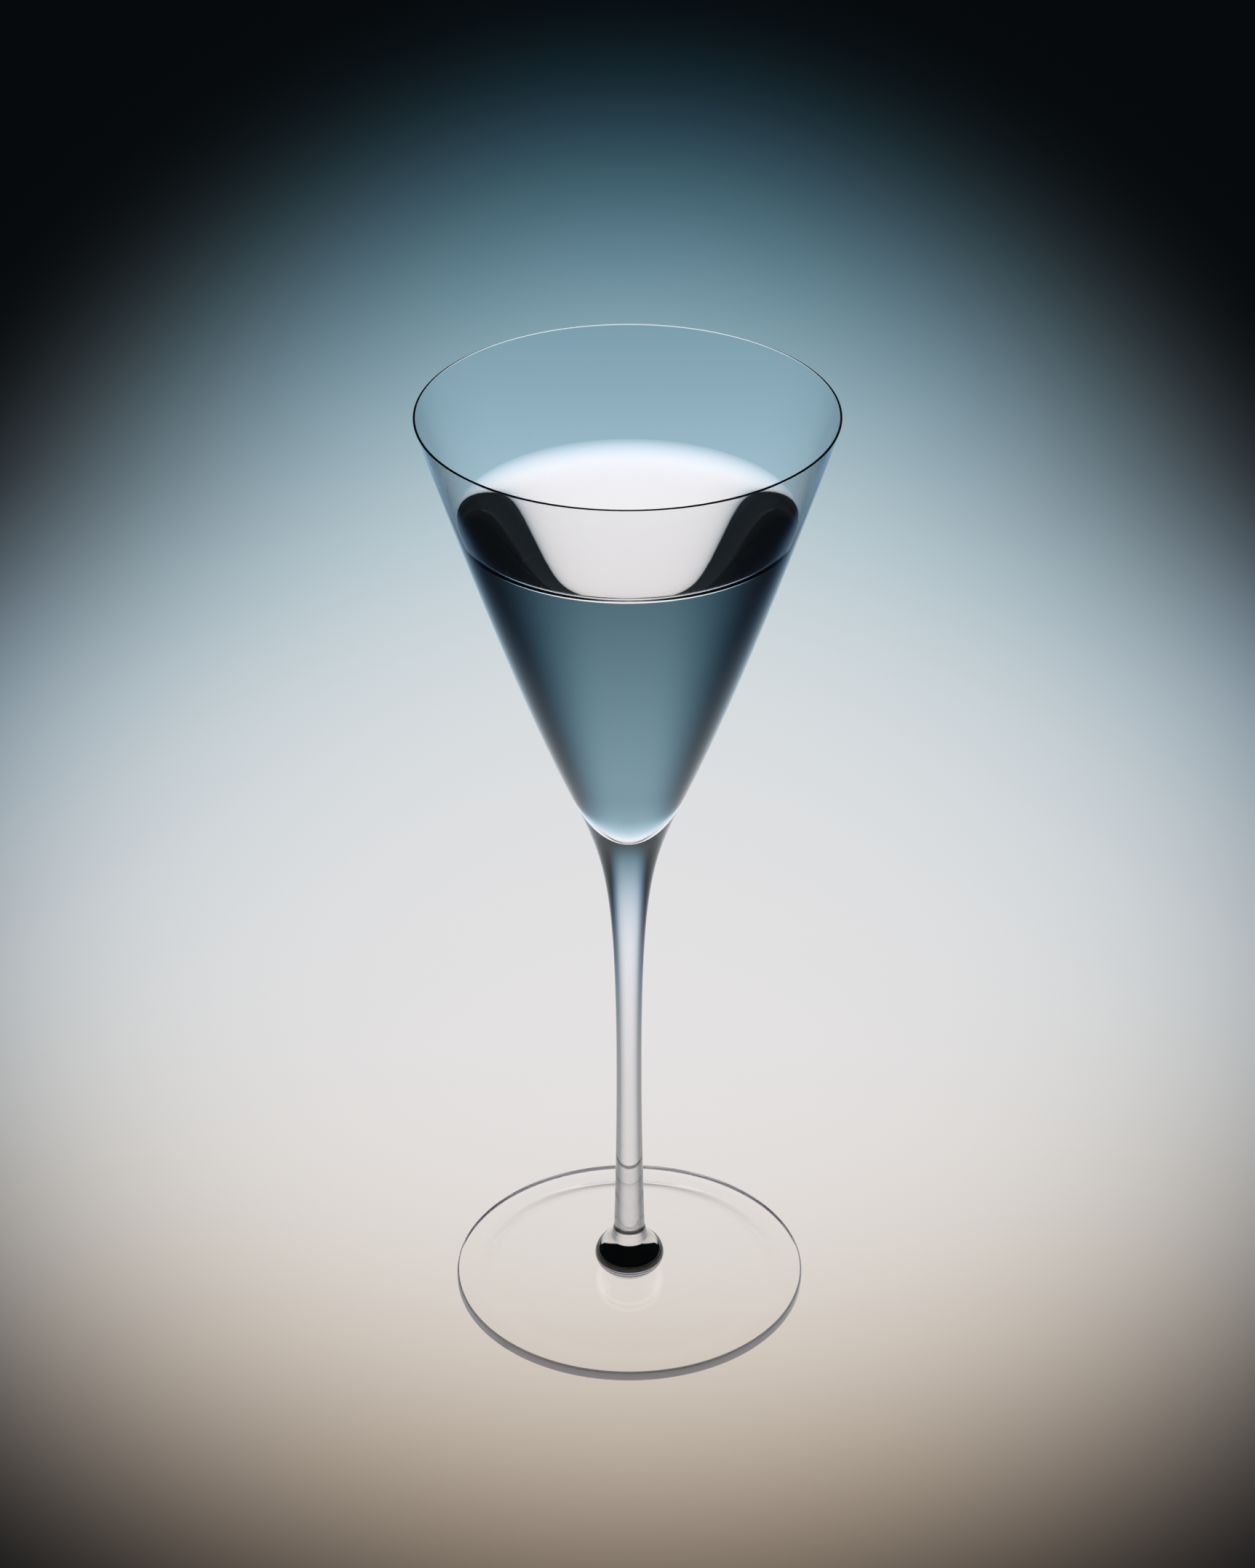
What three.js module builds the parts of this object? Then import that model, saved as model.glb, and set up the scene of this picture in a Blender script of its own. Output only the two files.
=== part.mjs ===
import * as THREE from 'three';

// A clear cocktail in a long-stemmed cone glass.
// Millimetres, +Z up. The origin is the centre of the circle that the foot stands on.
// Both pieces are turned: each is one closed outline in (radius, height), carried round the Z axis.

// Foot: a thin pressed disc that stands on a flat ring near its edge and is hollowed a little inside the ring
const FOOT_RADIUS = 37.5;
const FOOT_THICKNESS = 2.4;
const FOOT_CORNER_RADIUS = 0.5;
const FOOT_RING_WIDTH = 3;
const FOOT_HOLLOW_RADIUS = 29;
const FOOT_HOLLOW_DEPTH = 0.52;

// Button: the squashed ball of glass between foot and stem
const BUTTON_RADIUS = 7.42;
const BUTTON_HALF_HEIGHT = 5.1;
const BUTTON_CENTRE_Z = 6.1;

// Collar: the short flare that joins the stem to the button
const COLLAR_BASE_RADIUS = 4.0;
const COLLAR_TOP_RADIUS = 3.3;
const COLLAR_TOP_Z = 13.8;

// Stem: drawn out of the bowl, slimmest a third of the way up
const STEM_WAIST_RADIUS = 2.67;
const STEM_WAIST_Z = 54.7;
const STEM_FLARE_REACH = 45.5;

// Bowl, outside: a cone that bulges a little
const BOWL_BASE_RADIUS = 11.6;
const BOWL_BASE_Z = 122.2;
const BOWL_BASE_SLOPE = 0.44;
const BOWL_BASE_REACH = 15;
const RIM_RADIUS = 41.6;
const RIM_SLOPE = 0.312;
const RIM_Z = 207.8;

// Bowl, inside: a rounded tip, then a wall that thins towards the lip
const LIP_THICKNESS = 0.45;
const INNER_TIP_Z = 113.5;
const INNER_TIP_REACH = 2.6;
const INNER_BASE_RADIUS = 7.4;
const INNER_BASE_Z = 121.8;
const INNER_BASE_SLOPE = 0.55;
const INNER_BASE_REACH = 4.5;

// Drink: a solid up to the level shown, a hair's breadth clear of the wall
const DRINK_LEVEL_Z = 182.7;
const DRINK_GAP = 0.3;
const CAPILLARY_LENGTH = 2.6;
const SURFACE_FLAT_SLOPE = 0.06;

// Facets: sides round the axis, and steps along each run of the outlines
const SIDES = 56;
const HOLLOW_STEPS = 5;
const CORNER_STEPS = 3;
const BUTTON_STEPS = 9;
const STEM_STEPS = 4;
const FLARE_STEPS = 10;
const WALL_STEPS = 8;
const LIP_STEPS = 4;
const TIP_STEPS = 6;
const MENISCUS_STEPS = 5;

// Points of an outline closer than this are taken as one
const SAME_POINT = 1e-4;
const HALVINGS = 40;

const point = (radius, height) => new THREE.Vector2(radius, height);

// Where two lines meet, each given by a point and its slope, radius over height
function meeting(a, slopeA, b, slopeB) {
  const height = (b.x - a.x + slopeA * a.y - slopeB * b.y) / (slopeA - slopeB);
  return point(a.x + slopeA * (height - a.y), height);
}

// A curve that leaves a and reaches b with the slopes given there
function swept(a, slopeA, b, slopeB) {
  return new THREE.QuadraticBezierCurve(a, meeting(a, slopeA, b, slopeB), b);
}

// Strings curves and straight runs together into one outline.
// A run is a point, or a curve with its number of steps. Repeated points are dropped.
function outline(...runs) {
  const points = [];
  for (const run of runs) {
    const next = run.curve ? run.curve.getPoints(run.steps) : [run];
    for (const p of next) {
      const last = points[points.length - 1];
      if (!last || last.distanceTo(p) > SAME_POINT) points.push(p);
    }
  }
  return points;
}

// Carries an outline round the Z axis. LatheGeometry turns about Y, so it is stood up after.
function turned(name, points, material) {
  const geometry = new THREE.LatheGeometry(points, SIDES);
  geometry.rotateX(Math.PI / 2);
  const mesh = new THREE.Mesh(geometry, material);
  mesh.name = name;
  return mesh;
}

// The lip: half a circle that leaves the outer wall and meets the inner wall without a kink
const lipRadius = LIP_THICKNESS / 2;
const lipLean = Math.atan(RIM_SLOPE);
const lipCurve = new THREE.EllipseCurve(
  RIM_RADIUS - lipRadius, RIM_Z - lipRadius, lipRadius, lipRadius, -lipLean, Math.PI - lipLean,
);

// The inside of the bowl, from the tip up to the lip
const innerTip = point(0, INNER_TIP_Z);
const innerBase = point(INNER_BASE_RADIUS, INNER_BASE_Z);
const innerTipCurve = new THREE.CubicBezierCurve(
  innerTip,
  point(INNER_TIP_REACH, INNER_TIP_Z),
  point(INNER_BASE_RADIUS - INNER_BASE_SLOPE * INNER_BASE_REACH, INNER_BASE_Z - INNER_BASE_REACH),
  innerBase,
);
const innerWallCurve = swept(innerBase, INNER_BASE_SLOPE, lipCurve.getPoint(1), RIM_SLOPE);

// The underside of the foot: a smooth step from the hollow down to the ring it stands on
function hollowOutline(ringInner) {
  const points = [point(0, FOOT_HOLLOW_DEPTH)];
  for (let i = 0; i <= HOLLOW_STEPS; i += 1) {
    const share = i / HOLLOW_STEPS;
    const step = share * share * (3 - 2 * share);
    points.push(point(
      FOOT_HOLLOW_RADIUS + share * (ringInner - FOOT_HOLLOW_RADIUS),
      FOOT_HOLLOW_DEPTH * (1 - step),
    ));
  }
  return points;
}

// Foot, button, collar, stem, bowl and lip are one piece of glass
function glassOutline() {
  const ringOuter = FOOT_RADIUS - FOOT_CORNER_RADIUS;
  const corner = (z, start) => new THREE.EllipseCurve(
    ringOuter, z, FOOT_CORNER_RADIUS, FOOT_CORNER_RADIUS, start, start + Math.PI / 2,
  );

  const button = new THREE.EllipseCurve(
    0, BUTTON_CENTRE_Z, BUTTON_RADIUS, BUTTON_HALF_HEIGHT,
    -Math.asin((BUTTON_CENTRE_Z - FOOT_THICKNESS) / BUTTON_HALF_HEIGHT),
    Math.acos(COLLAR_BASE_RADIUS / BUTTON_RADIUS),
  );

  const collarTop = point(COLLAR_TOP_RADIUS, COLLAR_TOP_Z);
  const waist = point(STEM_WAIST_RADIUS, STEM_WAIST_Z);
  const stem = new THREE.QuadraticBezierCurve(
    collarTop, point(STEM_WAIST_RADIUS, (COLLAR_TOP_Z + STEM_WAIST_Z) / 2), waist,
  );

  const bowlBase = point(BOWL_BASE_RADIUS, BOWL_BASE_Z);
  const flare = new THREE.CubicBezierCurve(
    waist,
    point(STEM_WAIST_RADIUS, STEM_WAIST_Z + STEM_FLARE_REACH),
    point(BOWL_BASE_RADIUS - BOWL_BASE_SLOPE * BOWL_BASE_REACH, BOWL_BASE_Z - BOWL_BASE_REACH),
    bowlBase,
  );
  const bowl = swept(bowlBase, BOWL_BASE_SLOPE, lipCurve.getPoint(0), RIM_SLOPE);

  return outline(
    ...hollowOutline(ringOuter - FOOT_RING_WIDTH),
    { curve: corner(FOOT_CORNER_RADIUS, -Math.PI / 2), steps: CORNER_STEPS },
    { curve: corner(FOOT_THICKNESS - FOOT_CORNER_RADIUS, 0), steps: CORNER_STEPS },
    { curve: button, steps: BUTTON_STEPS },
    { curve: stem, steps: STEM_STEPS },
    { curve: flare, steps: FLARE_STEPS },
    { curve: bowl, steps: WALL_STEPS },
    { curve: lipCurve, steps: LIP_STEPS },
    ...innerWallCurve.getPoints(WALL_STEPS).reverse(),
    ...innerTipCurve.getPoints(TIP_STEPS).reverse(),
  );
}

// How far along the inner wall a height lies, from 0 to 1, worked out by halving
function innerWallAt(height) {
  let low = 0;
  let high = 1;
  for (let i = 0; i < HALVINGS; i += 1) {
    const middle = (low + high) / 2;
    if (innerWallCurve.getPoint(middle).y < height) low = middle;
    else high = middle;
  }
  return low;
}

// A curve's points moved inwards, square to the curve
function movedIn(curve, last, steps, gap) {
  const points = [];
  for (let i = 0; i <= steps; i += 1) {
    const at = (last * i) / steps;
    const tangent = curve.getTangent(at);
    const p = curve.getPoint(at);
    points.push(point(Math.max(p.x - tangent.y * gap, 0), p.y + tangent.x * gap));
  }
  return points;
}

// How a liquid climbs a wall that it wets, from the wall to where it is flat. At a point where the surface
// slopes by the angle s, the rise is 2 a sin(s/2), and f(s) = ln tan(s/4) + 2 cos(s/2) gives the distance
// from the wall as a (f(wall) - f(s)), where a is the capillary length.
function meniscus(contact, level, wallSlope) {
  const f = (s) => Math.log(Math.tan(s / 4)) + 2 * Math.cos(s / 2);
  const points = [];
  for (let i = 0; i <= MENISCUS_STEPS; i += 1) {
    const s = wallSlope * (SURFACE_FLAT_SLOPE / wallSlope) ** (i / MENISCUS_STEPS);
    const rise = 2 * CAPILLARY_LENGTH * Math.sin(s / 2);
    points.push(point(contact.x - CAPILLARY_LENGTH * (f(wallSlope) - f(s)), level + rise));
  }
  return points;
}

// The drink fills the tip and the cone up to its level, and climbs the wall
function drinkOutline() {
  const lean = innerWallCurve.getTangent(innerWallAt(DRINK_LEVEL_Z));
  const wallSlope = Math.atan2(lean.y, lean.x);
  const top = DRINK_LEVEL_Z + 2 * CAPILLARY_LENGTH * Math.sin(wallSlope / 2);
  const tip = movedIn(innerTipCurve, 1, TIP_STEPS, DRINK_GAP);
  const wall = movedIn(innerWallCurve, innerWallAt(top), WALL_STEPS - 2, DRINK_GAP);
  const surface = meniscus(wall[wall.length - 1], DRINK_LEVEL_Z, wallSlope).slice(1);
  return outline(...tip, ...wall, ...surface, point(0, DRINK_LEVEL_Z));
}

const crystal = new THREE.MeshStandardMaterial({
  color: 0xeaf1f3, roughness: 0.02, metalness: 0, transparent: true, opacity: 0.35,
});
const spirit = new THREE.MeshStandardMaterial({
  color: 0xc9dde4, roughness: 0.02, metalness: 0, transparent: true, opacity: 0.5,
});

const group = new THREE.Group();
group.add(turned('glass', glassOutline(), crystal));
group.add(turned('drink', drinkOutline(), spirit));

export default group;
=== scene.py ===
"""A clear cocktail in a long-stemmed cone glass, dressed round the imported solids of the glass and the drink.

Everything is in metres, +Z up, with the foot standing on the floor at height zero.
Each piece is a turned surface: an outline in radius and height, worked out as arrays and carried round +Z.
"""

import math

import bpy
import numpy as np
from bpy.props import FloatProperty, FloatVectorProperty, IntProperty, PointerProperty
from mathutils import Euler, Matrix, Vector


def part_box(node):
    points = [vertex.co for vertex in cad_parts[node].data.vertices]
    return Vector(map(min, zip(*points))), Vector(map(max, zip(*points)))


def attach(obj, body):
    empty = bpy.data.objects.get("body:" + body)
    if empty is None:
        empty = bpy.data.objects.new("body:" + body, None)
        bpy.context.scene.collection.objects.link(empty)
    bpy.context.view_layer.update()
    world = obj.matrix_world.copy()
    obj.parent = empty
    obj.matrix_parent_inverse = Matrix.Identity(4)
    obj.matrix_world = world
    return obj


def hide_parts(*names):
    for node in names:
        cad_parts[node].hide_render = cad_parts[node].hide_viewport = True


bl_info = {
    "name": "Stemmed cocktail glass",
    "version": (1, 0, 0),
    "blender": (4, 5, 0),
    "location": "3D View > Sidebar > Cocktail",
    "description": "Builds a clear drink in a cone glass with fine turned surfaces and glass materials",
    "category": "Add Mesh",
}

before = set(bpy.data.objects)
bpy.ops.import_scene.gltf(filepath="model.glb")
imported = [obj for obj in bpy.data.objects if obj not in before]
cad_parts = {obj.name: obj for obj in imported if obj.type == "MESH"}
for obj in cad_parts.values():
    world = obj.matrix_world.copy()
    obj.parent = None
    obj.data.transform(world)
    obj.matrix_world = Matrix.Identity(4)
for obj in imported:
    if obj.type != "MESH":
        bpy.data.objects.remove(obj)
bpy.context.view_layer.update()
GLASS_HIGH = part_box("glass")[1]

BODY = "root"
MM = 0.001

# Foot, button and collar, beside the sizes in the settings
FOOT_CORNER = 0.5 * MM
RING_WIDTH = 3.0 * MM
HOLLOW_DEPTH = 0.52 * MM
HOLLOW_MIDDLE = 1.0 * MM
HOLLOW_EDGE = 29.0 * MM
BUTTON_Z = 6.1 * MM
BUTTON_HALF_HEIGHT = 5.1 * MM
COLLAR_RADIUS = 4.0 * MM
COLLAR_TOP = (3.3 * MM, 13.8 * MM)

# Stem and bowl, outside. Slopes are radius over height, and reaches say how far a curve keeps to its slope.
WAIST_Z = 54.7 * MM
FLARE_REACH = 45.5 * MM
BOWL_BASE = np.array([11.6, 122.2]) * MM
BOWL_BASE_SLOPE = 0.44
BOWL_BASE_REACH = 15 * MM
RIM_SLOPE = 0.312

# Bowl, inside
INNER_TIP_Z = 113.5 * MM
INNER_TIP_REACH = 2.6 * MM
INNER_BASE = np.array([7.4, 121.8]) * MM
INNER_BASE_SLOPE = 0.55
INNER_BASE_REACH = 4.5 * MM

# The drink: where its surface counts as flat, and how far above the contact line it ends inside the wall
FLAT_ANGLE = math.radians(0.4)
BRIM_RISE = 0.5 * MM
BRIM_MARGIN = 0.05 * MM

# Steps along each run of the outlines
STEPS = {
    "hollow middle": 6, "hollow": 24, "ring": 2, "foot corner": 6, "foot side": 2, "deck": 12, "button": 48,
    "collar": 6, "stem": 20, "flare": 44, "bowl": 64, "lip": 20, "inner wall": 64, "inner tip": 32,
    "meniscus": 60, "brim": 6, "surface": 12,
}

# Points this close are one point, heights this close are one height, and edges past this angle stay sharp
SAME_POINT = 1e-7
SAME_HEIGHT = 1e-9
SHARP_ANGLE = math.radians(30)

# The marks on clear surfaces: noise scales and details, the span of noise that smears fill, and the specks
SMEAR_SCALE = 35.0
SMEAR_DETAIL = 4.0
SMEAR_SPAN = (0.62, 0.48)
WAVE_DETAIL = 1.0
WAVE_DEPTH = 0.02 * MM
WAVE_STRENGTH = 0.5
SPECK_SHARE = 0.04
SPECK_COLOUR = (0.12, 0.12, 0.13, 1)
CRYSTAL_SMEAR = 0.012

# The stage. The camera stands a little off the axis and rolled, as the photograph's rings show.
SENSOR = 36.0
CAMERA_ASIDE = -0.18 * MM
CAMERA_ROLL = math.radians(-0.137)
FLOOR_REACH = 6.0
FLOOR_Z = -0.05 * MM
WORLD_COLOUR = (0.03, 0.034, 0.04, 1)
# Few reflections, because light led sideways inside the foot would fill the dark button with stripes
BOUNCES = 24
REFLECTIONS = 6

# The pool of light painted on the floor as glow, channel by channel: its level, and how it fades behind and in
# front of the glass. Each fade has a half width, a place on the Y axis where it starts, a reach from there,
# and a power that makes the edge soft or sudden. Light that the glass gathers is a second painted pool: it
# fades sooner but more gently behind, from start by reach, and sideways from a core to a side that lies
# further out by so many squares of Y. The least is what is left far away, as the camera sees it and as the
# glass gathers it.
PAINTED_POOL = {
    "Red": {
        "level": 0.777,
        "behind": (0.226, -0.10, 0.566, 2.158),
        "front": (0.205, 0.217, 0.304, 3.838),
        "gathered": (0.065, 0.296),
        "side": (0.05, 0.165, 0.45),
        "least": (0.002, 0.008),
    },
    "Green": {
        "level": 0.753,
        "behind": (0.227, -0.10, 0.63, 2.559),
        "front": (0.214, 0.249, 0.329, 3.867),
        "gathered": (0.06, 0.405),
        "side": (0.06, 0.172, 0.49),
        "least": (0.003, 0.011),
    },
    "Blue": {
        "level": 0.76,
        "behind": (0.227, -0.10, 0.655, 2.783),
        "front": (0.231, 0.30, 0.37, 3.961),
        "gathered": (0.09, 0.43),
        "side": (0.065, 0.18, 0.52),
        "least": (0.004, 0.013),
    },
}
# From the first to the second of these places on the Y axis the pool narrows, by so much of its across term
POOL_NARROW = (0.22, 0.40)
POOL_NARROWING = 0.31
# How bright the gathered light is against the level, in front and behind the foot, and where that rises
LIFT_FRONT = 1.12
LIFT_BEHIND = 1.5
LIFT_START = 0.05
LIFT_END = 0.18
# From here on the front edge no longer narrows the light that the glass gathers
SIDE_FREE = 0.15

# Painted shade on the stem, darker where its sides turn away: where it starts and ends on the stem, what lets
# it grow, and the colours it reaches
STEM_SHADE_TOP = (0.103, 0.118)
STEM_SHADE_FOOT = (0.0112, 0.0095)
STEM_SHADE_GRAZING = (0.1, 0.46)
STEM_SHADE_CORE = (0.85, 0.855, 0.87)
STEM_SHADE_EDGE = (0.12, 0.14, 0.165)
# The foot's edge is satin, and the pale blue colour it scatters is painted light that brightens the band: how
# rough, how much of the light it lets through, and what it scatters of the rest
FOOT_EDGE_WIDTH = 0.3 * MM
FOOT_EDGE_ROUGHNESS = 0.5
FOOT_EDGE_CLEAR = 0.38
FOOT_EDGE_PAINTED_LIGHT = (0.82, 0.85, 1.0)


class GlassSettings(bpy.types.PropertyGroup):
    """Sizes and look of the glass."""

    rim_radius: FloatProperty(
        name="Rim radius",
        description="Outer radius of the lip",
        default=GLASS_HIGH.x,
        unit="LENGTH",
    )
    height: FloatProperty(
        name="Height",
        description="Height of the lip above the floor",
        default=GLASS_HIGH.z,
        unit="LENGTH",
    )
    lip_thickness: FloatProperty(
        name="Lip thickness",
        description="Thickness of the wall at the lip",
        default=0.45 * MM,
        unit="LENGTH",
    )
    foot_radius: FloatProperty(
        name="Foot radius",
        description="Outer radius of the foot",
        default=37.5 * MM,
        unit="LENGTH",
    )
    foot_thickness: FloatProperty(
        name="Foot thickness",
        description="Thickness of the foot at its edge",
        default=2.4 * MM,
        unit="LENGTH",
    )
    button_radius: FloatProperty(
        name="Button radius",
        description="Radius of the squashed ball between foot and stem",
        default=7.42 * MM,
        unit="LENGTH",
    )
    waist_radius: FloatProperty(
        name="Stem waist radius",
        description="Radius of the stem where it is slimmest",
        default=2.67 * MM,
        unit="LENGTH",
    )
    ior: FloatProperty(
        name="Glass IOR",
        description="Index of refraction of the crystal",
        default=1.52,
        min=1.0,
        max=2.5,
    )
    colour: FloatVectorProperty(
        name="Glass colour",
        description="Tint of the light that passes each surface of the glass",
        subtype="COLOR",
        size=3,
        min=0.0,
        max=1.0,
        default=(1.0, 1.0, 1.0),
    )
    sides: IntProperty(
        name="Sides",
        description="Number of steps round the axis",
        default=256,
        min=24,
        max=512,
    )


class DrinkSettings(bpy.types.PropertyGroup):
    """Level and look of the drink."""

    level: FloatProperty(
        name="Level",
        description="Height of the drink's flat surface above the floor",
        default=182.7 * MM,
        unit="LENGTH",
    )
    capillary_length: FloatProperty(
        name="Capillary length",
        description="Sets how high the drink climbs the wall: 1.9 mm for neat spirit, 2.7 mm for water",
        default=2.6 * MM,
        unit="LENGTH",
    )
    contact_angle: FloatProperty(
        name="Contact angle",
        description="Angle between the drink's surface and the wall where they meet",
        default=math.radians(3),
        subtype="ANGLE",
    )
    overlap: FloatProperty(
        name="Reach into the wall",
        description="How far the drink reaches into the glass, so that no air shows between them",
        default=0.08 * MM,
        unit="LENGTH",
    )
    ior: FloatProperty(
        name="Drink IOR",
        description="Index of refraction of the mixed spirit",
        default=1.345,
        min=1.0,
        max=2.0,
    )
    colour: FloatVectorProperty(
        name="Drink colour",
        description="Tint of the light that passes each surface of the drink",
        subtype="COLOR",
        size=3,
        min=0.0,
        max=1.0,
        default=(1.0, 1.0, 1.0),
    )


class StageSettings(bpy.types.PropertyGroup):
    """Camera and floor."""

    camera_distance: FloatProperty(
        name="Camera distance",
        description="Distance of the camera from the axis of the glass, along the floor",
        default=0.7507,
        unit="LENGTH",
    )
    camera_height: FloatProperty(
        name="Camera height",
        description="Height of the camera above the floor",
        default=0.5684,
        unit="LENGTH",
    )
    camera_pitch: FloatProperty(
        name="Camera pitch",
        description="Angle that the camera looks down by",
        default=math.radians(30.61),
        subtype="ANGLE",
    )
    lens: FloatProperty(
        name="Lens",
        description="Focal length in millimetres on a 36 mm tall frame",
        default=98.32,
        unit="CAMERA",
    )
    floor_strength: FloatProperty(
        name="Floor strength",
        description="How bright the light table is",
        default=1.0,
        min=0.0,
    )


def closer(steps):
    """Shares from 0 to 1 that lie close together at both ends: (1 - cos(pi t)) / 2 for even t."""
    return (1 - np.cos(np.linspace(0, math.pi, steps + 1)))[:, None] / 2


def bezier(points, steps):
    """Points along a Bezier curve: the sum of each control point times its Bernstein polynomial."""
    t = closer(steps)
    degree = len(points) - 1
    total = np.zeros((steps + 1, 2))
    for i, p in enumerate(points):
        total += math.comb(degree, i) * (1 - t) ** (degree - i) * t**i * np.asarray(p, float)
    return total


def ellipse(centre, radii, start, end, steps):
    """Points along an ellipse: centre + (radius_r cos a, radius_z sin a), with a from start to end."""
    a = np.linspace(start, end, steps + 1)
    return np.stack([centre[0] + radii[0] * np.cos(a), centre[1] + radii[1] * np.sin(a)], 1)


def swept(a, slope_a, b, slope_b, steps):
    """A quadratic Bezier from a to b whose ends have the given slopes, radius over height."""
    height = (b[0] - a[0] + slope_a * a[1] - slope_b * b[1]) / (slope_a - slope_b)
    corner = (a[0] + slope_a * (height - a[1]), height)
    return bezier([a, corner, b], steps)


def straight(a, b, steps):
    """Points along a straight line from a to b."""
    return np.asarray(a, float) + closer(steps) * (np.asarray(b, float) - np.asarray(a, float))


def joined(*runs):
    """Strings runs of points into one outline and drops points that repeat."""
    points = np.concatenate([np.atleast_2d(r) for r in runs])
    step = np.linalg.norm(np.diff(points, axis=0), axis=1)
    return points[np.concatenate([[True], step > SAME_POINT])]


def moved_out(points, distance):
    """Moves an outline square to itself, to its right, which is away from the axis where it goes up."""
    tangent = np.gradient(points, axis=0)
    tangent /= np.linalg.norm(tangent, axis=1)[:, None]
    normal = np.stack([tangent[:, 1], -tangent[:, 0]], 1)
    return points + np.reshape(distance, (-1, 1)) * normal


def lip_arc(glass):
    """The lip: half a circle that leaves the outer wall and meets the inner wall without a kink."""
    radius = glass.lip_thickness / 2
    lean = math.atan(RIM_SLOPE)
    centre = (glass.rim_radius - radius, glass.height - radius)
    return ellipse(centre, (radius, radius), -lean, math.pi - lean, STEPS["lip"])


def inner_wall(glass):
    """The inside of the bowl from its tip to the lip: a rounded tip, then a gently bulging cone."""
    tip = bezier(
        [
            (0, INNER_TIP_Z),
            (INNER_TIP_REACH, INNER_TIP_Z),
            (INNER_BASE[0] - INNER_BASE_SLOPE * INNER_BASE_REACH, INNER_BASE[1] - INNER_BASE_REACH),
            INNER_BASE,
        ],
        STEPS["inner tip"],
    )
    wall = swept(INNER_BASE, INNER_BASE_SLOPE, lip_arc(glass)[-1], RIM_SLOPE, STEPS["inner wall"])
    return tip, wall


def contact_point(glass, drink):
    """Where the drink's surface meets the inside of the bowl, and the angle that it slopes by there."""
    wall = inner_wall(glass)[1]
    run = np.gradient(wall, axis=0)
    angle = np.interp(drink.level, wall[:, 1], np.arctan2(run[:, 1], run[:, 0])) - drink.contact_angle
    height = drink.level + meniscus(drink.capillary_length, angle)[1][0]
    return np.array([np.interp(height, wall[:, 1], wall[:, 0]), height]), angle


def glass_outline(glass, contact):
    """The outline of the glass: from the axis under the foot, up the outside, over the lip, down inside."""
    top_z = glass.foot_thickness
    side = glass.foot_radius - FOOT_CORNER
    ring_inner = side - RING_WIDTH
    share = np.linspace(0.0, 1.0, STEPS["hollow"] + 1)
    step = share**2 * (3 - 2 * share)
    under = joined(
        (0, HOLLOW_DEPTH),
        straight((HOLLOW_MIDDLE, HOLLOW_DEPTH), (HOLLOW_EDGE, HOLLOW_DEPTH), STEPS["hollow middle"]),
        np.stack([HOLLOW_EDGE + share * (ring_inner - HOLLOW_EDGE), HOLLOW_DEPTH * (1 - step)], 1),
    )
    ring = straight((ring_inner, 0), (side, 0), STEPS["ring"])
    round_off = (FOOT_CORNER, FOOT_CORNER)
    low_corner = ellipse((side, FOOT_CORNER), round_off, -math.pi / 2, 0, STEPS["foot corner"])
    high_corner = ellipse((side, top_z - FOOT_CORNER), round_off, 0, math.pi / 2, STEPS["foot corner"])
    edge = straight(low_corner[-1], high_corner[0], STEPS["foot side"])

    low = -math.asin((BUTTON_Z - top_z) / BUTTON_HALF_HEIGHT)
    high = math.acos(COLLAR_RADIUS / glass.button_radius)
    button = ellipse((0, BUTTON_Z), (glass.button_radius, BUTTON_HALF_HEIGHT), low, high, STEPS["button"])
    deck = straight(high_corner[-1], button[0], STEPS["deck"])

    collar = straight(button[-1], COLLAR_TOP, STEPS["collar"])
    waist = (glass.waist_radius, WAIST_Z)
    stem = bezier([COLLAR_TOP, (glass.waist_radius, (COLLAR_TOP[1] + WAIST_Z) / 2), waist], STEPS["stem"])
    flare = bezier(
        [
            waist,
            (glass.waist_radius, WAIST_Z + FLARE_REACH),
            (BOWL_BASE[0] - BOWL_BASE_SLOPE * BOWL_BASE_REACH, BOWL_BASE[1] - BOWL_BASE_REACH),
            BOWL_BASE,
        ],
        STEPS["flare"],
    )
    lip = lip_arc(glass)
    bowl = swept(BOWL_BASE, BOWL_BASE_SLOPE, lip[0], RIM_SLOPE, STEPS["bowl"])
    tip, wall = inner_wall(glass)
    wall = np.insert(wall, np.searchsorted(wall[:, 1], contact[1]), contact, axis=0)
    return joined(
        under, ring, low_corner, edge, high_corner, deck, button, collar, stem,
        flare, bowl, lip, wall[::-1], tip[::-1],
    )


def meniscus(length, wall_angle):
    """How a liquid climbs a wall that it wets: distance from the wall and rise, by the slope angle s.

    The rise is 2 a sin(s/2), and the distance is a (f(wall) - f(s)) with f(s) = ln tan(s/4) + 2 cos(s/2),
    where a is the capillary length.
    """
    s = np.geomspace(wall_angle, FLAT_ANGLE, STEPS["meniscus"] + 1)
    f = np.log(np.tan(s / 4)) + 2 * np.cos(s / 2)
    rise = 2 * length * np.sin(s / 2)
    return length * (f[0] - f), rise - rise[-1]


def drink_outline(glass, drink):
    """The outline of the drink: up inside the wall by the overlap, then the meniscus and the flat surface.

    Gives the number of steps that lie inside the wall as well.
    """
    inside = joined(*inner_wall(glass))
    contact, angle = contact_point(glass, drink)
    away, rise = meniscus(drink.capillary_length, angle)
    side = moved_out(inside, drink.overlap)
    side[0, 0] = 0
    brim_z = contact[1] + BRIM_RISE
    brim = np.array([np.interp(brim_z, side[:, 1], side[:, 0]), brim_z])
    side = side[side[:, 1] < brim_z - BRIM_MARGIN]
    in_wall = joined(side, straight(brim, contact, STEPS["brim"]))
    curve = np.stack([contact[0] - away, drink.level + rise], 1)
    surface = straight(curve[-1], (0, drink.level), STEPS["surface"])
    return joined(in_wall, curve, surface), len(in_wall) - 1


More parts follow.
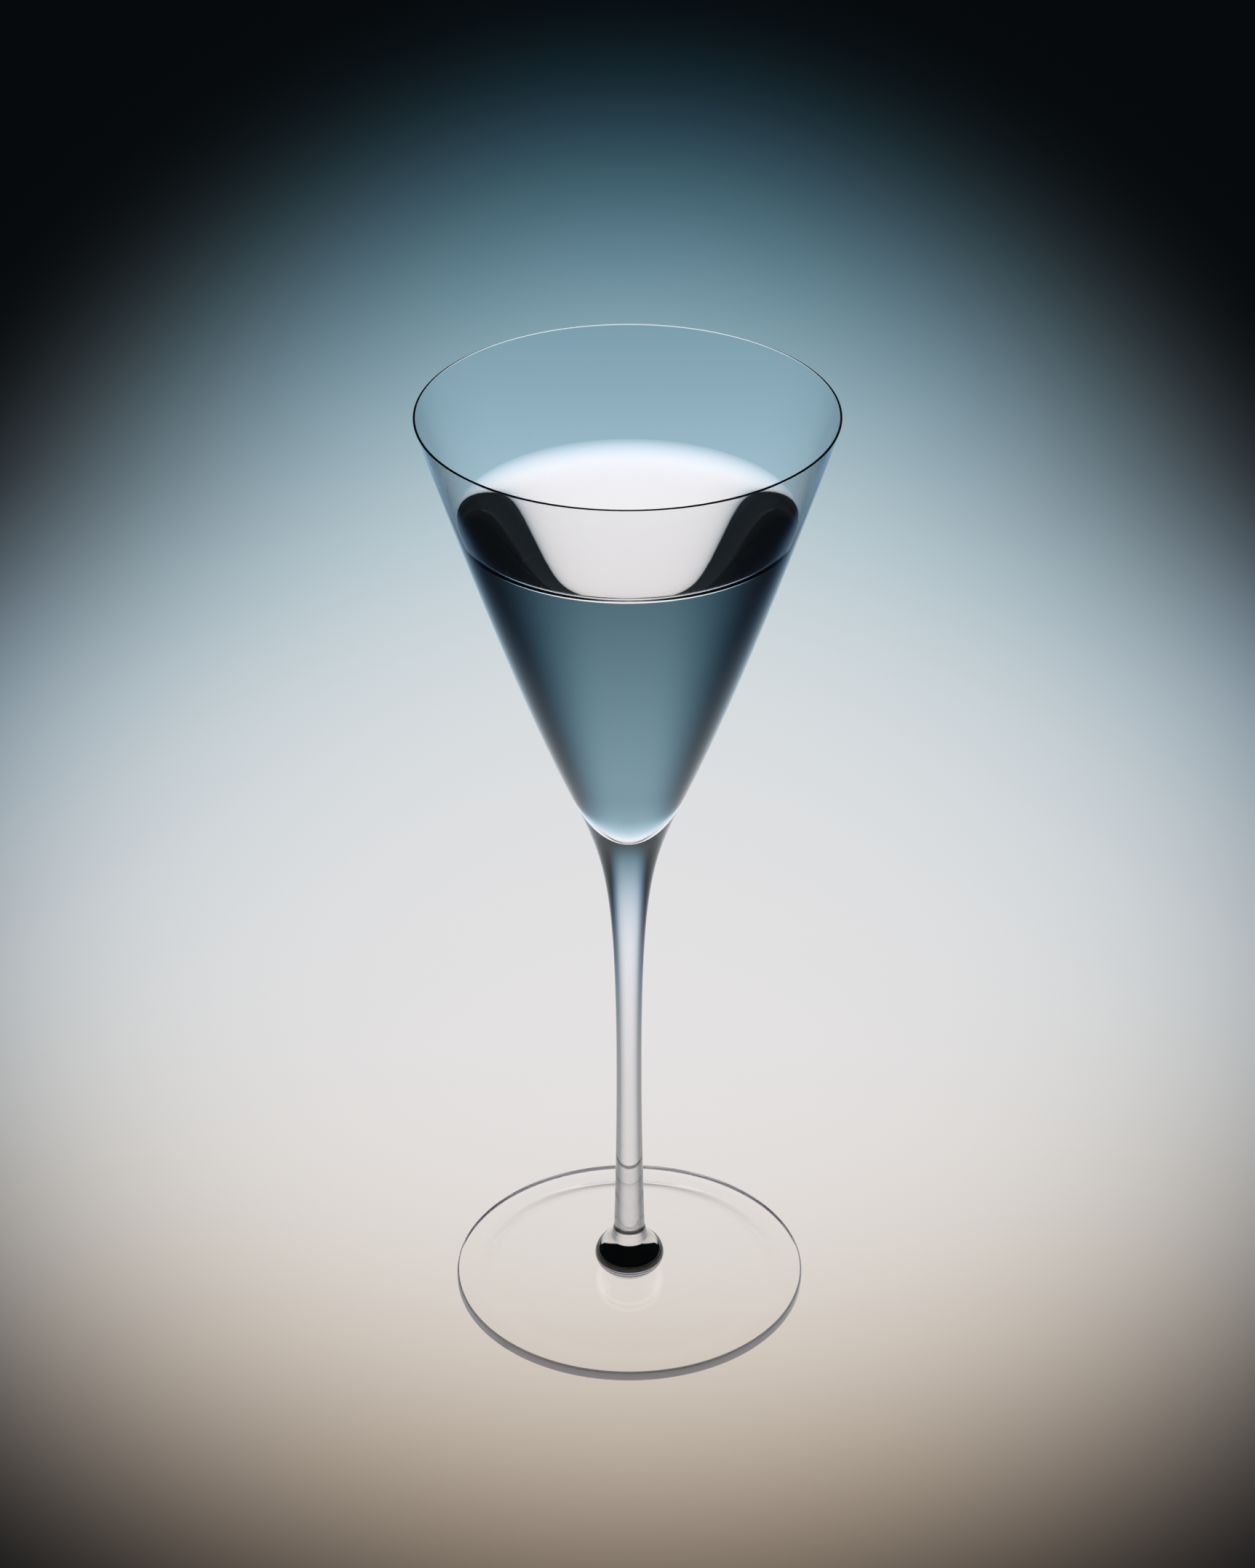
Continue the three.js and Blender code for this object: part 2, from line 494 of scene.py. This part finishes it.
def turned(name, outline, sides, slots):
    """A closed surface: outline point (r, z) at angle a lies at (r cos a, r sin a, z). The ends are poles.

    slots gives the material slot of each step of the outline.
    """
    ring = outline[1:-1]
    angle = np.linspace(0, 2 * math.pi, sides, endpoint=False)
    x = ring[:, :1] * np.cos(angle)
    y = ring[:, :1] * np.sin(angle)
    z = np.repeat(ring[:, 1:], sides, axis=1)
    verts = np.concatenate(
        [np.stack([x, y, z], 2).reshape(-1, 3), [(0, 0, outline[0, 1]), (0, 0, outline[-1, 1])]]
    )
    row = np.arange(len(ring) - 1)[:, None] * sides
    here = np.arange(sides)[None]
    after = (here + 1) % sides
    quads = np.stack([row + here, row + after, row + sides + after, row + sides + here], 2).reshape(-1, 4)
    south = len(verts) - 2
    north = len(verts) - 1
    last = (len(ring) - 1) * sides
    bottom = np.stack([np.full(sides, south), after[0], here[0]], 1)
    top = np.stack([np.full(sides, north), last + here[0], last + after[0]], 1)
    mesh = bpy.data.meshes.new(name)
    mesh.from_pydata(verts, [], quads.tolist() + bottom.tolist() + top.tolist())
    mesh.polygons.foreach_set("use_smooth", np.ones(len(mesh.polygons), bool))
    ends = np.repeat([slots[0], slots[-1]], sides)
    mesh.polygons.foreach_set("material_index", np.concatenate([np.repeat(slots[1:-1], sides), ends]))
    mesh.set_sharp_from_angle(angle=SHARP_ANGLE)
    mesh.update()
    piece = bpy.data.objects.new(name, mesh)
    bpy.context.scene.collection.objects.link(piece)
    return piece


def clear_surface_group():
    """What a clear surface has besides its gloss: faint smears, a slow wave and a few specks."""
    group = bpy.data.node_groups.new("clear_surface", "ShaderNodeTree")
    for name, default in (("Smear", 0.01), ("Wave Scale", 60.0), ("Speck Scale", 90.0), ("Speck Size", 0.05)):
        socket = group.interface.new_socket(name=name, in_out="INPUT", socket_type="NodeSocketFloat")
        socket.default_value = default
    for name in ("Roughness", "Height", "Specks"):
        group.interface.new_socket(name=name, in_out="OUTPUT", socket_type="NodeSocketFloat")
    enter = group.nodes.new("NodeGroupInput")
    leave = group.nodes.new("NodeGroupOutput")
    coord = group.nodes.new("ShaderNodeTexCoord")

    smear = group.nodes.new("ShaderNodeTexNoise")
    smear.inputs["Scale"].default_value = SMEAR_SCALE
    smear.inputs["Detail"].default_value = SMEAR_DETAIL
    group.links.new(coord.outputs["Object"], smear.inputs["Vector"])
    share = fade(group, smear.outputs["Fac"], *SMEAR_SPAN)
    streaks = maths(group, "MULTIPLY", share, enter.outputs["Smear"])
    group.links.new(maths(group, "SUBTRACT", enter.outputs["Smear"], streaks), leave.inputs["Roughness"])

    wave = group.nodes.new("ShaderNodeTexNoise")
    wave.inputs["Detail"].default_value = WAVE_DETAIL
    group.links.new(coord.outputs["Object"], wave.inputs["Vector"])
    group.links.new(enter.outputs["Wave Scale"], wave.inputs["Scale"])
    group.links.new(wave.outputs["Fac"], leave.inputs["Height"])

    cells = group.nodes.new("ShaderNodeTexVoronoi")
    group.links.new(coord.outputs["Object"], cells.inputs["Vector"])
    group.links.new(enter.outputs["Speck Scale"], cells.inputs["Scale"])
    chance = group.nodes.new("ShaderNodeSeparateColor")
    group.links.new(cells.outputs["Color"], chance.inputs["Color"])
    size = maths(group, "MULTIPLY", chance.outputs["Green"], enter.outputs["Speck Size"])
    dot = maths(group, "LESS_THAN", cells.outputs["Distance"], size)
    rare = maths(group, "LESS_THAN", chance.outputs["Red"], SPECK_SHARE)
    group.links.new(maths(group, "MULTIPLY", dot, rare), leave.inputs["Specks"])
    return group


def clear_material(name, colour, ior, smear):
    """A clear material: a Principled shader with full transmission, and the clear surface's own marks."""
    material = bpy.data.materials.new(name)
    material.use_nodes = True
    tree = material.node_tree
    shader = tree.nodes["Principled BSDF"]
    shader.inputs["IOR"].default_value = ior
    shader.inputs["Transmission Weight"].default_value = 1.0

    marks = tree.nodes.new("ShaderNodeGroup")
    marks.node_tree = bpy.data.node_groups.get("clear_surface") or clear_surface_group()
    marks.inputs["Smear"].default_value = smear
    tree.links.new(marks.outputs["Roughness"], shader.inputs["Roughness"])
    bump = tree.nodes.new("ShaderNodeBump")
    bump.inputs["Strength"].default_value = WAVE_STRENGTH
    bump.inputs["Distance"].default_value = WAVE_DEPTH
    tree.links.new(marks.outputs["Height"], bump.inputs["Height"])
    tree.links.new(bump.outputs["Normal"], shader.inputs["Normal"])

    speckled = tree.nodes.new("ShaderNodeMix")
    speckled.name = "speckled"
    speckled.data_type = "RGBA"
    speckled.inputs["A"].default_value = (*colour, 1)
    speckled.inputs["B"].default_value = SPECK_COLOUR
    tree.links.new(marks.outputs["Specks"], speckled.inputs["Factor"])
    tree.links.new(speckled.outputs["Result"], shader.inputs["Base Color"])
    return material


def crystal_material(glass):
    """The crystal: clear, with painted shade that makes the stem greyer where its sides turn away."""
    material = clear_material("crystal", glass.colour, glass.ior, CRYSTAL_SMEAR)
    tree = material.node_tree
    shader = tree.nodes["Principled BSDF"]
    coord = tree.nodes.new("ShaderNodeTexCoord")
    split = tree.nodes.new("ShaderNodeSeparateXYZ")
    tree.links.new(coord.outputs["Object"], split.inputs["Vector"])
    height = split.outputs["Z"]

    # Painted shade: the stem's base colour darkens towards its sides as they turn away, between the foot and
    # the bowl
    turn = tree.nodes.new("ShaderNodeLayerWeight")
    turn.inputs["Blend"].default_value = 0.5
    shade_share = maths(tree, "SUBTRACT", 1.0, fade(tree, turn.outputs["Facing"], *STEM_SHADE_GRAZING))
    stem_shade_mask = maths(tree, "MULTIPLY", fade(tree, height, *STEM_SHADE_TOP), fade(tree, height, *STEM_SHADE_FOOT))
    stem_painted_shade = tree.nodes.new("ShaderNodeMix")
    stem_painted_shade.data_type = "RGBA"
    stem_painted_shade.inputs["A"].default_value = (*STEM_SHADE_CORE, 1)
    stem_painted_shade.inputs["B"].default_value = (*STEM_SHADE_EDGE, 1)
    tree.links.new(shade_share, stem_painted_shade.inputs["Factor"])
    stem = tree.nodes.new("ShaderNodeMix")
    stem.data_type = "RGBA"
    tree.links.new(stem_shade_mask, stem.inputs["Factor"])
    tree.links.new(tree.nodes["speckled"].outputs["Result"], stem.inputs["A"])
    tree.links.new(stem_painted_shade.outputs["Result"], stem.inputs["B"])
    tree.links.new(stem.outputs["Result"], shader.inputs["Base Color"])
    return material


def edge_material(glass):
    """The outermost band of the foot: a satin whose pale blue scattering colour is painted light that
    brightens the band.
    """
    material = clear_material("foot_edge", FOOT_EDGE_PAINTED_LIGHT, glass.ior, FOOT_EDGE_ROUGHNESS)
    shader = material.node_tree.nodes["Principled BSDF"]
    shader.inputs["Transmission Weight"].default_value = FOOT_EDGE_CLEAR
    return material


class COCKTAIL_OT_glass(bpy.types.Operator):
    """Makes the glass: foot, button, stem, bowl and lip in one turned piece"""

    bl_idname = "cocktail.glass"
    bl_label = "Make glass"

    def execute(self, context):
        glass = context.scene.cocktail_glass
        drink = context.scene.cocktail_drink
        contact = contact_point(glass, drink)[0]
        outline = glass_outline(glass, contact)
        inside = np.arange(len(outline) - 1) >= np.argmax(outline[:, 1])
        wetted = inside & (outline[:-1, 1] <= contact[1] + SAME_HEIGHT)
        on_foot = outline[:-1, 1] < glass.foot_thickness
        edge = on_foot & (outline[:-1, 0] > glass.foot_radius - FOOT_EDGE_WIDTH)
        piece = turned("crystal_glass", outline, glass.sides, wetted + 2 * edge)
        piece.data.materials.append(crystal_material(glass))
        wetted_ior = glass.ior / drink.ior
        piece.data.materials.append(clear_material("wetted_crystal", glass.colour, wetted_ior, 0.0))
        piece.data.materials.append(edge_material(glass))
        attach(piece, BODY)
        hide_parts("glass")
        return {"FINISHED"}


class COCKTAIL_OT_drink(bpy.types.Operator):
    """Makes the drink up to its level, with a meniscus at the wall"""

    bl_idname = "cocktail.drink"
    bl_label = "Make drink"

    def execute(self, context):
        glass = context.scene.cocktail_glass
        drink = context.scene.cocktail_drink
        outline, steps_in_wall = drink_outline(glass, drink)
        in_wall = np.arange(len(outline) - 1) < steps_in_wall
        piece = turned("clear_drink", outline, glass.sides, in_wall.astype(int))
        piece.data.materials.append(clear_material("clear_spirit", drink.colour, drink.ior, 0.0))
        piece.data.materials.append(clear_material("spirit_in_wall", drink.colour, 1.0, 0.0))
        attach(piece, BODY)
        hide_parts("drink")
        return {"FINISHED"}


def maths(tree, operation, *values):
    """Adds a Math node whose inputs are numbers or other nodes' outputs."""
    node = tree.nodes.new("ShaderNodeMath")
    node.operation = operation
    for socket, value in zip(node.inputs, values):
        if isinstance(value, (int, float)):
            socket.default_value = value
        else:
            tree.links.new(value, socket)
    return node.outputs[0]


def fade(tree, source, start, end):
    """A smooth step from 1 at start to 0 at end."""
    node = tree.nodes.new("ShaderNodeMapRange")
    node.interpolation_type = "SMOOTHSTEP"
    for socket, value in (("Value", source), ("From Min", start), ("From Max", end)):
        if isinstance(value, (int, float)):
            node.inputs[socket].default_value = value
        else:
            tree.links.new(value, node.inputs[socket])
    node.inputs["To Min"].default_value = 1
    node.inputs["To Max"].default_value = 0
    return node.outputs["Result"]


def beyond(tree, value, start, reach):
    """How far a value lies past start, as a square of reaches, and 0 before it."""
    past = maths(tree, "MAXIMUM", maths(tree, "DIVIDE", maths(tree, "SUBTRACT", value, start), reach), 0.0)
    return maths(tree, "MULTIPLY", past, past)


def soft_edge(tree, reach_squares, power):
    """exp(-q^power), which is 1 inside the pool of light and 0 well outside it."""
    return maths(tree, "EXPONENT", maths(tree, "MULTIPLY", maths(tree, "POWER", reach_squares, power), -1.0))


def painted_light_pool(tree, across, depth, channel):
    """The painted pool of light on the floor as the camera sees it: two soft edges, one behind and one in
    front, times the level.
    """
    value = channel["level"]
    narrower = maths(tree, "MULTIPLY_ADD", fade(tree, depth, *reversed(POOL_NARROW)), POOL_NARROWING, 1.0)
    for edge, way, scale in (("behind", 1, narrower), ("front", -1, 1.0)):
        width, start, reach, power = channel[edge]
        aside = maths(tree, "MULTIPLY", beyond(tree, across, 0.0, width), scale)
        q = maths(tree, "ADD", aside, beyond(tree, depth, start, way * reach))
        value = maths(tree, "MULTIPLY", value, soft_edge(tree, q, power))
    return maths(tree, "ADD", value, channel["least"][0])


def painted_light_gathered(tree, across, depth, channel):
    """The painted pool of light on the floor as the glass gathers it: it falls off behind as 1 / (1 + d^2)^1.5
    with the distance d.
    """
    start, reach = channel["gathered"]
    far = maths(tree, "POWER", maths(tree, "ADD", beyond(tree, depth, start, reach), 1.0), -1.5)
    core, side, widening = channel["side"]
    edge = maths(tree, "MULTIPLY_ADD", maths(tree, "MULTIPLY", depth, depth), widening, side)
    side = fade(tree, across, core, edge)
    width, start, reach, power = channel["front"]
    beside = maths(tree, "MULTIPLY", beyond(tree, across, 0.0, width), fade(tree, depth, 0.0, SIDE_FREE))
    near = soft_edge(tree, maths(tree, "ADD", beside, beyond(tree, depth, start, -reach)), power)
    behind = fade(tree, depth, LIFT_END, LIFT_START)
    lift = maths(tree, "MULTIPLY_ADD", behind, LIFT_BEHIND - LIFT_FRONT, LIFT_FRONT)
    value = maths(tree, "MULTIPLY", maths(tree, "MULTIPLY", far, side), maths(tree, "MULTIPLY", near, lift))
    return maths(tree, "MULTIPLY_ADD", value, channel["level"], channel["least"][1])


def floor_material(strength):
    """A light table whose glow is a painted pool of light that fades into the dark all round, warm in front
    and cool behind. The camera sees one painted pool, and the glass gathers another.
    """
    material = bpy.data.materials.new("painted_light_floor")
    material.use_nodes = True
    tree = material.node_tree
    tree.nodes.clear()
    coord = tree.nodes.new("ShaderNodeTexCoord")
    split = tree.nodes.new("ShaderNodeSeparateXYZ")
    tree.links.new(coord.outputs["Object"], split.inputs["Vector"])
    across = maths(tree, "ABSOLUTE", split.outputs["X"])
    depth = split.outputs["Y"]
    direct = tree.nodes.new("ShaderNodeCombineColor")
    through = tree.nodes.new("ShaderNodeCombineColor")
    for name, channel in PAINTED_POOL.items():
        tree.links.new(painted_light_pool(tree, across, depth, channel), direct.inputs[name])
        tree.links.new(painted_light_gathered(tree, across, depth, channel), through.inputs[name])
    # Painted light: camera rays see the floor's first painted pool, and rays through the glass see the second
    rays = tree.nodes.new("ShaderNodeLightPath")
    pick = tree.nodes.new("ShaderNodeMix")
    pick.data_type = "RGBA"
    tree.links.new(rays.outputs["Is Camera Ray"], pick.inputs["Factor"])
    tree.links.new(through.outputs["Color"], pick.inputs["A"])
    tree.links.new(direct.outputs["Color"], pick.inputs["B"])
    emit = tree.nodes.new("ShaderNodeEmission")
    emit.inputs["Strength"].default_value = strength
    tree.links.new(pick.outputs["Result"], emit.inputs["Color"])
    out = tree.nodes.new("ShaderNodeOutputMaterial")
    tree.links.new(emit.outputs["Emission"], out.inputs["Surface"])
    return material


class COCKTAIL_OT_stage(bpy.types.Operator):
    """Makes the floor with its painted pool of light, the dark surroundings and the camera"""

    bl_idname = "cocktail.stage"
    bl_label = "Make stage"

    def execute(self, context):
        stage = context.scene.cocktail_stage
        mesh = bpy.data.meshes.new("floor")
        around = ((-1, -1), (1, -1), (1, 1), (-1, 1))
        corners = [(x * FLOOR_REACH, y * FLOOR_REACH, FLOOR_Z) for x, y in around]
        mesh.from_pydata(corners, [], [(0, 1, 2, 3)])
        floor = bpy.data.objects.new("floor", mesh)
        context.scene.collection.objects.link(floor)
        mesh.materials.append(floor_material(stage.floor_strength))

        world = bpy.data.worlds.new("studio")
        world.use_nodes = True
        world.node_tree.nodes["Background"].inputs["Color"].default_value = WORLD_COLOUR
        context.scene.world = world

        data = bpy.data.cameras.new("camera")
        data.lens = stage.lens
        data.sensor_width = SENSOR
        camera = bpy.data.objects.new("camera", data)
        camera.location = Vector((CAMERA_ASIDE, -stage.camera_distance, stage.camera_height))
        turn = Euler((math.pi / 2 - stage.camera_pitch, 0, 0)).to_matrix()
        roll = Euler((0, 0, CAMERA_ROLL)).to_matrix()
        camera.rotation_euler = (turn @ roll).to_euler()
        context.scene.collection.objects.link(camera)
        context.scene.camera = camera
        context.scene.view_settings.view_transform = "Standard"
        paths = context.scene.cycles
        paths.max_bounces = BOUNCES
        paths.transmission_bounces = BOUNCES
        paths.glossy_bounces = REFLECTIONS
        return {"FINISHED"}


class COCKTAIL_PT_panel(bpy.types.Panel):
    """Lists the pieces in the sidebar"""

    bl_label = "Cocktail"
    bl_space_type = "VIEW_3D"
    bl_region_type = "UI"
    bl_category = "Cocktail"

    def draw(self, context):
        layout = self.layout
        for group, operator in PIECES:
            box = layout.box()
            settings = getattr(context.scene, group)
            for name in settings.__annotations__:
                box.prop(settings, name)
            box.operator(operator)


PIECES = (
    ("cocktail_glass", "cocktail.glass"),
    ("cocktail_drink", "cocktail.drink"),
    ("cocktail_stage", "cocktail.stage"),
)
CLASSES = (
    GlassSettings,
    DrinkSettings,
    StageSettings,
    COCKTAIL_OT_glass,
    COCKTAIL_OT_drink,
    COCKTAIL_OT_stage,
    COCKTAIL_PT_panel,
)


def register():
    for cls in CLASSES:
        bpy.utils.register_class(cls)
    bpy.types.Scene.cocktail_glass = PointerProperty(type=GlassSettings)
    bpy.types.Scene.cocktail_drink = PointerProperty(type=DrinkSettings)
    bpy.types.Scene.cocktail_stage = PointerProperty(type=StageSettings)


def unregister():
    del bpy.types.Scene.cocktail_stage
    del bpy.types.Scene.cocktail_drink
    del bpy.types.Scene.cocktail_glass
    for cls in reversed(CLASSES):
        bpy.utils.unregister_class(cls)


def main():
    register()
    bpy.ops.cocktail.glass()
    bpy.ops.cocktail.drink()
    bpy.ops.cocktail.stage()


if __name__ == "__main__":
    main()
